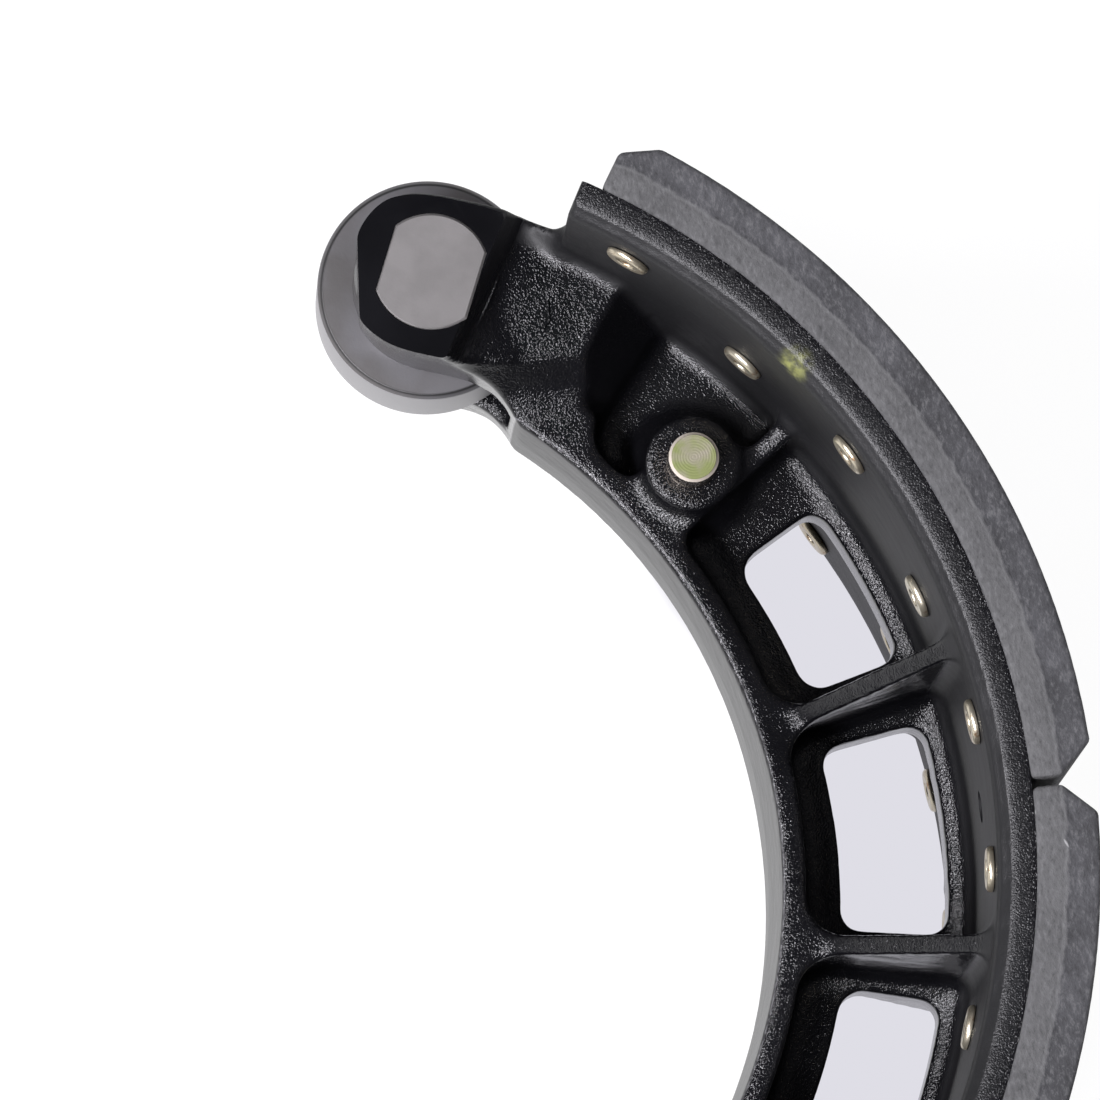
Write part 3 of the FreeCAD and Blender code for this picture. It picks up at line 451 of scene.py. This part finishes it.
# --------------------------------------------------------------- materials
class Shade:
    """Short way to build a node material."""

    def __init__(self, name):
        self.mat = bpy.data.materials.new(name)
        self.mat.use_nodes = True
        self.tree = self.mat.node_tree
        self.tree.nodes.clear()
        self.out = self.add("ShaderNodeOutputMaterial")
        self.bsdf = self.add("ShaderNodeBsdfPrincipled")
        self.link(self.bsdf, "BSDF", self.out, "Surface")
        self.coord = self.add("ShaderNodeTexCoord")

    def add(self, kind, **values):
        node = self.tree.nodes.new(kind)
        for key, value in values.items():
            setattr(node, key, value)
        return node

    def link(self, a, out, b, into):
        self.tree.links.new(a.outputs[out], b.inputs[into])

    def set(self, **values):
        for key, value in values.items():
            self.bsdf.inputs[key.replace("_", " ")].default_value = value

    def noise(self, scale, detail=2.0, rough=0.5, distortion=0.0, source=None, stretch=None):
        n = self.add("ShaderNodeTexNoise")
        n.inputs["Scale"].default_value = scale
        n.inputs["Detail"].default_value = detail
        n.inputs["Roughness"].default_value = rough
        n.inputs["Distortion"].default_value = distortion
        self.feed(n, source, stretch)
        return n

    def voronoi(self, scale, feature="F1", randomness=1.0, smoothness=None, source=None, stretch=None):
        n = self.add("ShaderNodeTexVoronoi", feature=feature)
        n.inputs["Scale"].default_value = scale
        n.inputs["Randomness"].default_value = randomness
        if smoothness is not None:
            n.inputs["Smoothness"].default_value = smoothness
        self.feed(n, source, stretch)
        return n

    def feed(self, node, source, stretch):
        if stretch is not None:
            m = self.add("ShaderNodeMapping")
            m.inputs["Scale"].default_value = stretch[:3]
            if len(stretch) > 3:
                m.inputs["Rotation"].default_value = (0.0, 0.0, stretch[3])
            self.tree.links.new(source or self.coord.outputs["Object"], m.inputs["Vector"])
            self.tree.links.new(m.outputs["Vector"], node.inputs["Vector"])
        else:
            self.tree.links.new(source or self.coord.outputs["Object"], node.inputs["Vector"])

    def ramp(self, source, stops, interpolation="LINEAR"):
        r = self.add("ShaderNodeValToRGB")
        r.color_ramp.interpolation = interpolation
        els = r.color_ramp.elements
        while len(els) > 1:
            els.remove(els[-1])
        els[0].position = stops[0][0]
        els[0].color = self.rgba(stops[0][1])
        for pos, col in stops[1:]:
            e = els.new(pos)
            e.color = self.rgba(col)
        self.tree.links.new(source, r.inputs["Fac"])
        return r.outputs["Color"]

    @staticmethod
    def rgba(c):
        if isinstance(c, (int, float)):
            return (c, c, c, 1.0)
        return tuple(c) + (1.0,) if len(c) == 3 else tuple(c)

    def math(self, op, a, b=None, clamp=False):
        n = self.add("ShaderNodeMath", operation=op, use_clamp=clamp)
        for i, v in enumerate((a, b)):
            if v is None:
                continue
            if isinstance(v, (int, float)):
                n.inputs[i].default_value = v
            else:
                self.tree.links.new(v, n.inputs[i])
        return n.outputs[0]

    def mix(self, fac, a, b, blend="MIX"):
        n = self.add("ShaderNodeMix", data_type="RGBA", blend_type=blend)
        for name, v in (("Factor", fac), ("A", a), ("B", b)):
            socket = [s for s in n.inputs if s.name == name and
                      (s.type == "RGBA" if name != "Factor" else s.type == "VALUE")][0]
            if isinstance(v, (int, float)):
                if name == "Factor":
                    socket.default_value = v
                else:
                    socket.default_value = self.rgba(v)
            elif isinstance(v, tuple):
                socket.default_value = self.rgba(v)
            else:
                self.tree.links.new(v, socket)
        return [s for s in n.outputs if s.type == "RGBA"][0]

    def drum_radius(self):
        """Distance from the drum's axis in millimetres."""
        m = self.add("ShaderNodeVectorMath", operation="MULTIPLY_ADD")
        m.inputs[1].default_value = (1000.0, 1000.0, 0.0)
        m.inputs[2].default_value = (AX, AY, 0.0)
        self.tree.links.new(self.coord.outputs["Object"], m.inputs[0])
        n = self.add("ShaderNodeVectorMath", operation="LENGTH")
        self.tree.links.new(m.outputs["Vector"], n.inputs[0])
        return n.outputs["Value"]

    def spot(self, place, half, angle=0.0, soft=0.5):
        """1 inside an ellipsoid given in the drum centre's frame, mm; 0 outside."""
        m = self.add("ShaderNodeMapping", vector_type="TEXTURE")
        m.inputs["Location"].default_value = ((place[0] - AX) * MM, (place[1] - AY) * MM, place[2] * MM)
        m.inputs["Rotation"].default_value = (0.0, 0.0, math.radians(angle))
        m.inputs["Scale"].default_value = tuple(v * MM for v in half)
        self.tree.links.new(self.coord.outputs["Object"], m.inputs["Vector"])
        n = self.add("ShaderNodeVectorMath", operation="LENGTH")
        self.tree.links.new(m.outputs["Vector"], n.inputs[0])
        r = self.add("ShaderNodeMapRange", interpolation_type="SMOOTHSTEP")
        r.inputs["From Min"].default_value = 1.0
        r.inputs["From Max"].default_value = 1.0 - soft
        self.tree.links.new(n.outputs["Value"], r.inputs["Value"])
        return r.outputs["Result"]

    def bump(self, height, distance, strength=1.0, below=None):
        b = self.add("ShaderNodeBump")
        b.inputs["Distance"].default_value = distance
        if isinstance(strength, (int, float)):
            b.inputs["Strength"].default_value = strength
        else:
            self.tree.links.new(strength, b.inputs["Strength"])
        self.tree.links.new(height, b.inputs["Height"])
        if below is not None:
            self.tree.links.new(below.outputs["Normal"], b.inputs["Normal"])
        return b

    def normal(self, bump):
        self.tree.links.new(bump.outputs["Normal"], self.bsdf.inputs["Normal"])

    def colour(self, socket):
        self.tree.links.new(socket, self.bsdf.inputs["Base Color"])

    def roughness(self, socket):
        self.tree.links.new(socket, self.bsdf.inputs["Roughness"])

    def attribute(self, name):
        a = self.add("ShaderNodeAttribute", attribute_type="GEOMETRY")
        a.attribute_name = name
        return a.outputs["Fac"]


def enamel(name, grain=None):
    """Gloss black paint over an as-cast surface; the grain is finer where it was
    brushed thick.  Bump heights are in millimetres."""
    s = Shade(name)
    how = s.attribute("grain") if grain is None else grain
    wave = s.math("MULTIPLY", s.noise(120, detail=2.0).outputs["Fac"], 0.38 if grain is None else 0.14)
    coarse = s.math("MULTIPLY", s.noise(900, detail=2.0, rough=0.6).outputs["Fac"], 0.16)
    fine = s.math("MULTIPLY", s.noise(2100, detail=1.0, rough=0.6).outputs["Fac"], 0.26)
    sand = s.math("MULTIPLY", s.math("ADD", coarse, fine), how)
    s.normal(s.bump(s.math("ADD", wave, sand), 0.001))
    s.set(Roughness=0.24, Specular_IOR_Level=0.40)
    if grain is None:
        s.roughness(s.attribute("satin"))
    col = s.ramp(s.noise(38, detail=4.0).outputs["Fac"],
                 [(0.3, (0.0022, 0.0022, 0.0028)), (0.7, (0.0048, 0.0048, 0.0058))])
    if grain is None:
        stain = s.math("MULTIPLY", s.spot((142.6, 111.4, 86.0), (6.0, 6.0, 7.0), soft=0.9),
                       s.ramp(s.noise(330, detail=3.0).outputs["Fac"], [(0.38, 0.0), (0.62, 0.75)]))
        col = s.mix(stain, col, (0.23, 0.24, 0.07))
        # two small pale grey spots, broken up by noise: painted highlights
        for place, half in (((141.5, 24.3, 88.5), (0.7, 0.5, 3.0)), ((130.0, 96.1, 31.0), (0.8, 0.6, 3.0))):
            col = s.mix(s.math("MULTIPLY", s.spot(place, half),
                               s.ramp(s.noise(1300, detail=2.0).outputs["Fac"], [(0.4, 0.1), (0.55, 0.9)])),
                        col, (0.42, 0.42, 0.43))
        # painted highlight: a thin, broken pale line along the rim's rounded inner edge
        m = s.add("ShaderNodeVectorMath", operation="MULTIPLY_ADD")
        m.inputs[1].default_value = (1000.0, 1000.0, 0.0)
        m.inputs[2].default_value = (AX + 13.99, AY - 2.97, 0.0)
        s.tree.links.new(s.coord.outputs["Object"], m.inputs[0])
        n = s.add("ShaderNodeVectorMath", operation="LENGTH")
        s.tree.links.new(m.outputs["Vector"], n.inputs[0])
        rim_edge_highlight = s.ramp(s.math("SUBTRACT", n.outputs["Value"], RIM_EDGE - 0.5),
                      [(0.20, 0.0), (0.38, 0.8), (0.62, 0.8), (0.80, 0.0)])
        rim_edge_highlight = s.math("MULTIPLY", rim_edge_highlight, s.ramp(s.noise(700, detail=2.0).outputs["Fac"], [(0.38, 0.25), (0.55, 1.0)]))
        col = s.mix(rim_edge_highlight, col, (0.10, 0.10, 0.103))
    s.colour(col)
    return s.mat


def friction(name):
    """Moulded friction material: dark grey and mottled, a ground band above the step
    and a lighter moulded band below it, with a ragged edge between them."""
    s = Shade(name)
    radius = s.drum_radius()
    ragged = s.math("MULTIPLY", s.math("SUBTRACT", s.noise(260, detail=3.0).outputs["Fac"], 0.5), 2.4)
    level = s.math("ADD", radius, ragged)
    upper = s.ramp(s.math("DIVIDE", s.math("SUBTRACT", level, 190.0), 10.0),
                   [(0.50, 0.0), (0.62, 1.0)])
    cloud = s.noise(70, detail=5.0, rough=0.62).outputs["Fac"]
    streak = s.noise(900, detail=4.0, rough=0.72, stretch=(1.0, 0.5, 1.0, 0.72)).outputs["Fac"]
    dark = s.ramp(cloud, [(0.3, (0.032, 0.032, 0.034)), (0.7, (0.060, 0.060, 0.064))])
    pale = s.ramp(cloud, [(0.3, (0.060, 0.060, 0.061)), (0.7, (0.088, 0.088, 0.089))])
    col = s.mix(upper, pale, dark)
    col = s.mix(s.ramp(streak, [(0.50, 0.0), (0.70, 0.55)]), col, (0.135, 0.135, 0.137))
    col = s.mix(s.ramp(streak, [(0.30, 0.6), (0.45, 0.0)]), col, (0.020, 0.020, 0.020))
    edge = s.ramp(s.math("DIVIDE", s.math("SUBTRACT", level, 190.0), 10.0),
                  [(0.50, 0.0), (0.56, 0.35), (0.60, 0.35), (0.66, 0.0)])
    col = s.mix(edge, col, (0.17, 0.17, 0.17))
    for place, half, angle in (((195.2, -16.0, 89.8), (1.5, 0.4, 2.0), 115), ((188.0, -8.0, 89.8), (1.6, 0.5, 2.0), 60)):
        col = s.mix(s.math("MULTIPLY", s.spot(place, half, angle, 0.7), 0.7), col, (0.36, 0.36, 0.36))
    s.colour(col)
    s.normal(s.bump(s.math("MULTIPLY", streak, 0.35), 0.001))
    s.set(Roughness=0.9, Specular_IOR_Level=0.25)
    return s.mat


def metal(name, colour, rough, tint, metallic=1.0, grain=0.02, blotch=60, rust=None,
          about=None, line=None, end=None, rim=None):
    """Plain metal.  about and line draw a thin dark line round an axis, in mm: painted shade at the edge of a
    chamfer; end gives the height from which a pin's end face is matt instead of polished."""
    s = Shade(name)
    cloud = s.noise(blotch, detail=4.0)
    col = s.ramp(cloud.outputs["Fac"], [(0.38, tint), (0.62, colour)])
    if rust is not None:
        spots = s.ramp(s.noise(420, detail=4.0, rough=0.65).outputs["Fac"], [(0.56, 0.0), (0.66, 0.8)])
        col = s.mix(spots, col, rust)
    height = s.math("MULTIPLY", s.noise(1500, detail=2.0).outputs["Fac"], grain)
    if about is not None:
        m = s.add("ShaderNodeVectorMath", operation="MULTIPLY_ADD")
        m.inputs[1].default_value = (1000.0, 1000.0, 0.0)
        m.inputs[2].default_value = (-about[0], -about[1], 0.0)
        s.tree.links.new(s.coord.outputs["Object"], m.inputs[0])
        n = s.add("ShaderNodeVectorMath", operation="LENGTH")
        s.tree.links.new(m.outputs["Vector"], n.inputs[0])
        radius = n.outputs["Value"]
        if line is not None:
            # painted shade: a thin dark ring where the chamfer's edge turns away from the light
            t = s.math("DIVIDE", radius, 40.0)
            mask = s.ramp(t, [((line - 0.5) / 40, 0.0), ((line - 0.15) / 40, 0.85),
                              ((line + 0.15) / 40, 0.85), ((line + 0.5) / 40, 0.0)])
            col = s.mix(mask, col, (0.03, 0.03, 0.03))
        if line is not None:
            tread = s.math("GREATER_THAN", radius, 28.3)
            col = s.mix(tread, col, (0.335, 0.331, 0.335))
            s.roughness(s.math("ADD", rough, s.math("MULTIPLY", tread, 0.14)))
        if rim is not None:
            rings = s.math("MULTIPLY", s.math("SINE", s.math("MULTIPLY", radius, 9.0)), 0.012)
            height = s.math("ADD", height, rings)
            col = s.mix(s.math("GREATER_THAN", radius, rim[0]), col, rim[1])
    s.colour(col)
    s.set(Metallic=metallic)
    if line is None:
        s.set(Roughness=rough)
    if end is not None:
        split = s.add("ShaderNodeSeparateXYZ")
        s.tree.links.new(s.coord.outputs["Object"], split.inputs[0])
        face = s.math("GREATER_THAN", s.math("ABSOLUTE", split.outputs["Z"]), end * MM)
        s.tree.links.new(s.math("SUBTRACT", 1.0, s.math("MULTIPLY", face, 1.0 - metallic)),
                         s.bsdf.inputs["Metallic"])
        s.roughness(s.math("ADD", 0.22, s.math("MULTIPLY", face, rough - 0.22)))
    s.normal(s.bump(height, 0.001))
    return s.mat


def assign(ob, mat):
    ob.data.materials.clear()
    ob.data.materials.append(mat)


MAT_CAST = enamel("enamel_cast")
MAT_MILLED = enamel("enamel_milled", grain=0.10)
MAT_LINING = friction("friction_material")
# line=27.35 paints the roller's dark ring of shade at its chamfer
MAT_ROLLER = metal("roller_steel", (0.175, 0.172, 0.178), 0.50, (0.135, 0.130, 0.128), metallic=0.85,
                   about=PIN, line=27.35)
MAT_PIN = metal("pin_steel", (0.195, 0.187, 0.183), 0.50, (0.172, 0.165, 0.161), metallic=0.4, blotch=130)
MAT_ZINC = metal("passivated_zinc", (0.25, 0.28, 0.11), 0.42, (0.34, 0.31, 0.24), metallic=0.45,
                 blotch=170, about=SPRING, end=35.2, rim=(5.75, (0.56, 0.50, 0.43)))
MAT_RIVET = metal("rivet_steel", (0.62, 0.57, 0.45), 0.34, (0.50, 0.44, 0.33), metallic=0.9,
                  rust=(0.30, 0.17, 0.08))
MAT_BRONZE = metal("bush_bronze", (0.58, 0.42, 0.22), 0.34, (0.50, 0.36, 0.19))


# ------------------------------------------------------------------ pieces
def finished(ob, mat, node, body="shoe", angle=35):
    smooth(ob, angle)
    assign(ob, mat)
    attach(ob, body)
    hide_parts(*((node,) if isinstance(node, str) else node))


def capsule_mark(ob, a, b, radius):
    """Small raised cast line between two points on a face, joined to the casting."""
    a, b = Vector(a), Vector(b)
    p, t = cylinder_arrays(tuple(a), tuple(b - a), radius, -radius * 0.6, (b - a).length + radius * 0.6, 12)
    boolean(ob, make_object("mark", p, [t]), "UNION")


cast = casting_piece()
for a, b in (((85.4, 141.2), (85.2, 136.0)), ((85.2, 136.0), (83.5, 134.2))):
    for side in (1, -1):
        capsule_mark(cast, (a[0] - AX, a[1] - AY, side * 42.0), (b[0] - AX, b[1] - AY, side * 42.0), 0.5)
finished(cast, MAT_CAST, CASTING, angle=38)
cast.data.materials.append(MAT_MILLED)

me = cast.data
centre = np.empty(len(me.polygons) * 3, np.float32)
normal = np.empty(len(me.polygons) * 3, np.float32)
me.polygons.foreach_get("center", centre)
me.polygons.foreach_get("normal", normal)
centre, normal = centre.reshape(-1, 3) * 1000, normal.reshape(-1, 3)
milled = (np.abs(np.abs(centre[:, 2]) - 42.0) < 0.02) & (np.abs(normal[:, 2]) > 0.99)
milled |= (np.abs(np.abs(centre[:, 2]) - 40.0) < 0.02) & (np.abs(normal[:, 2]) > 0.999) & \
    (np.hypot(centre[:, 0], centre[:, 1]) < 27.5)
me.polygons.foreach_set("material_index", milled.astype(np.int32))

# cast grain on what faces up or down, smooth thick paint under the table and in the pockets
point = np.empty(len(me.vertices) * 3, np.float32)
me.vertices.foreach_get("co", point)
point = point.reshape(-1, 3) * 1000
lean = np.empty(len(me.vertices) * 3, np.float32)
me.vertices.foreach_get("normal", lean)
lean = np.abs(lean.reshape(-1, 3)[:, 2])
sand = np.clip((lean - 0.40) / 0.35, 0.0, 1.0)
reach = np.hypot(point[:, 0] + AX, point[:, 1] + AY)
edge = np.clip((reach - 175.5) / 2.0, 0.0, 1.0) * np.clip((88.7 - np.abs(point[:, 2])) / 0.5, 0.0, 1.0)
sand = 0.16 + 0.84 * sand * (1.0 - edge)
satin = np.full(len(point), 0.17)
from_rim = np.hypot(point[:, 0] + AX + 13.99, point[:, 1] + AY - 2.97)
satin = np.where((from_rim < 142.8) & (lean < 0.6), 0.36, satin)
satin = satin + np.clip((reach - 174.5) / 3.0, 0.0, 1.0) * np.clip(1.0 - sand, 0.0, 1.0) * 0.46
on_bevel = (reach > 179.5) & (reach < 188.3) & (np.abs(point[:, 2]) > 84.0)
satin = np.where(on_bevel, 0.42, satin)
on_cut = (point[:, 0] - PAD_AT[0]) * PAD_N[0] + (point[:, 1] - PAD_AT[1]) * PAD_N[1]
satin = np.where((on_cut > 3.0) & (on_cut < 4.6) & (np.abs(point[:, 2]) > 36.5), 0.32, satin)
attribute = me.attributes.new("satin", "FLOAT", "POINT")
attribute.data.foreach_set("value", satin.astype(np.float32))
grain = me.attributes.new("grain", "FLOAT", "POINT")
grain.data.foreach_set("value", sand.astype(np.float32))

for name, node in (("lining_upper", "lining_cam_block"), ("lining_lower", "lining_anchor_block")):
    finished(plain_piece(name, node, 0.75, 0.0, 0.45, 110000), MAT_LINING, node)


def rivet_profile():
    """Flat head in the lining, shank, and a tail rolled over against the table."""
    return ([(0.0, 184.0), (2.3, 184.0), (2.3, 178.4)]
            + arc((3.05, 177.75), 0.75, 180, 270, 5) + arc((4.55, 178.25), 1.25, 270, 380, 9)
            + [(4.05, 178.95), (4.05, 193.0), (6.7, 193.0), (7.0, 193.3), (7.0, 194.5), (6.7, 194.8), (0.0, 194.8)])


for label, sign in (("cam", 1), ("anchor", -1)):
    parts = []
    for z, angles in ((73.0, (6, 30, 54)), (46.0, (18, 42))):
        for a in angles:
            for side in (1, -1):
                t = math.radians(sign * a)
                parts.append(lathe_arrays(rivet_profile(), (-AX, -AY, side * z),
                                          (math.cos(t), math.sin(t), 0), 40))
    finished(make_object("rivets_" + label, *wrap(joined(parts))), MAT_RIVET,
             "rivets_%s_block" % label)

wall = ([(15.05, -12.9), (15.75, -13.6)]
        + arc((27.0, -13.1), 0.5, 270, 315, 3) + arc((27.98, -12.1), 0.5, 315, 360, 3)
        + arc((27.98, 12.1), 0.5, 0, 45, 3) + arc((27.0, 13.1), 0.5, 45, 90, 3)
        + [(15.75, 13.6), (15.05, 12.9)])
roller = make_object("roller_ground", *wrap(lathe_arrays(wall, (PIN[0], PIN[1], 0), (0, 0, 1), 192)))
finished(roller, MAT_ROLLER, "cam_roller", body="roller", angle=25)

for node, mat in (("roller_pin", MAT_PIN), ("spring_pin", MAT_ZINC), ("anchor_bush", MAT_BRONZE),
                  ("cam_roller", MAT_ROLLER), ("rivets_cam_block", MAT_RIVET),
                  ("rivets_anchor_block", MAT_RIVET), ("lining_cam_block", MAT_LINING),
                  ("lining_anchor_block", MAT_LINING)) + tuple((n, MAT_CAST) for n in CASTING):
    assign(nodes[node], mat)

# ------------------------------------------------- floor, light and camera
floor_mesh = bmesh.new()
bmesh.ops.create_grid(floor_mesh, x_segments=1, y_segments=1, size=12.0)
me = bpy.data.meshes.new("floor")
floor_mesh.to_mesh(me)
floor_mesh.free()
floor = bpy.data.objects.new("floor", me)
floor.location = (0.0, 0.15, -0.0901)
scene.collection.objects.link(floor)
s = Shade("floor_white")
where = s.add("ShaderNodeVectorMath", operation="MULTIPLY_ADD")
where.inputs[1].default_value = (1000.0, 1000.0, 0.0)
where.inputs[2].default_value = (AX, AY + 150.0, 0.0)
s.tree.links.new(s.coord.outputs["Object"], where.inputs[0])
length = s.add("ShaderNodeVectorMath", operation="LENGTH")
s.tree.links.new(where.outputs["Vector"], length.inputs[0])
parts = s.add("ShaderNodeSeparateXYZ")
s.tree.links.new(where.outputs["Vector"], parts.inputs[0])
# painted shadow: under the shoe's outline the floor glows a dimmer lilac grey instead of white and has no albedo of
# its own
inside = s.ramp(s.math("DIVIDE", length.outputs["Value"], 400.0),
                [(136 / 400, 0.0), (142 / 400, 1.0), (192 / 400, 1.0), (198 / 400, 0.0)])
ahead = s.ramp(s.math("DIVIDE", parts.outputs["X"], 400.0), [(108 / 400, 0.0), (116 / 400, 1.0)])
under = s.math("MULTIPLY", inside, ahead)
s.tree.links.new(s.mix(under, (0.92, 0.92, 0.92), (0.737, 0.730, 0.791)), s.bsdf.inputs["Emission Color"])
s.colour(s.mix(under, (0.12, 0.12, 0.12), (0.0, 0.0, 0.0)))
s.set(Roughness=0.9, Specular_IOR_Level=0.0, Emission_Strength=1.0)
assign(floor, s.mat)

world = bpy.data.worlds.new("studio")
scene.world = world
world.use_nodes = True
tree = world.node_tree
tree.nodes.clear()
out = tree.nodes.new("ShaderNodeOutputWorld")
back = tree.nodes.new("ShaderNodeBackground")
coord = tree.nodes.new("ShaderNodeTexCoord")
split = tree.nodes.new("ShaderNodeSeparateXYZ")
ramp = tree.nodes.new("ShaderNodeValToRGB")
ramp.color_ramp.elements[0].position = 0.0
ramp.color_ramp.elements[0].color = (0.12, 0.12, 0.13, 1)
ramp.color_ramp.elements[1].position = 0.7
ramp.color_ramp.elements[1].color = (0.025, 0.025, 0.03, 1)
tree.links.new(coord.outputs["Generated"], split.inputs[0])
tree.links.new(split.outputs["Z"], ramp.inputs["Fac"])
tree.links.new(ramp.outputs["Color"], back.inputs["Color"])
tree.links.new(back.outputs[0], out.inputs[0])
back.inputs["Strength"].default_value = 1.0


def area(name, place, target, size, power, colour=(1, 1, 1), glossy=True):
    light = bpy.data.lights.new(name, "AREA")
    light.shape = "RECTANGLE"
    light.size, light.size_y = size
    light.energy = power
    light.color = colour
    ob = bpy.data.objects.new(name, light)
    ob.location = place
    ob.rotation_euler = (Vector(target) - Vector(place)).to_track_quat("-Z", "Y").to_euler()
    ob.visible_glossy = glossy
    scene.collection.objects.link(ob)
    return ob


mid = (0.06, 0.18, 0.0)
area("key", (-1.35, -0.45, 1.84), mid, (2.4, 0.42), 140, (1.0, 0.985, 1.04))
area("side", (1.8, 0.6, 1.2), mid, (1.2, 1.2), 20, (1.0, 0.985, 1.04))
area("floor_wash", (0.2, 0.1, 2.6), mid, (3.0, 3.0), 25, (1.0, 0.985, 1.04), glossy=False)


def rotation(w):
    t = np.linalg.norm(w)
    k = np.array([[0, -w[2], w[1]], [w[2], 0, -w[0]], [-w[1], w[0], 0]]) / t
    return np.eye(3) + math.sin(t) * k + (1 - math.cos(t)) * k @ k


view = rotation(np.array([-0.1399, 0.0372, -0.0052]))
turn = math.radians(6.7)
flat = np.array([[math.cos(turn), -math.sin(turn), 0], [math.sin(turn), math.cos(turn), 0], [0, 0, 1]])
to_world = (view @ flat).T
place = -np.array([AX, AY, 0.0]) - to_world @ np.array([-70.81, -90.58, -2790.061])
camera = bpy.data.cameras.new("camera")
camera.sensor_fit = "HORIZONTAL"
camera.sensor_width = 36.0
camera.lens = 10914.43 / 1100 * 36.0
camera.clip_start, camera.clip_end = 0.1, 60.0
cam = bpy.data.objects.new("camera", camera)
m = Matrix.Identity(4)
for i in range(3):
    for j in range(3):
        m[i][j] = to_world[i, j]
    m[i][3] = place[i] * MM
cam.matrix_world = m
scene.collection.objects.link(cam)
scene.camera = cam

scene.view_settings.view_transform = "Standard"
scene.view_settings.look = "None"
scene.view_settings.exposure = 0.0
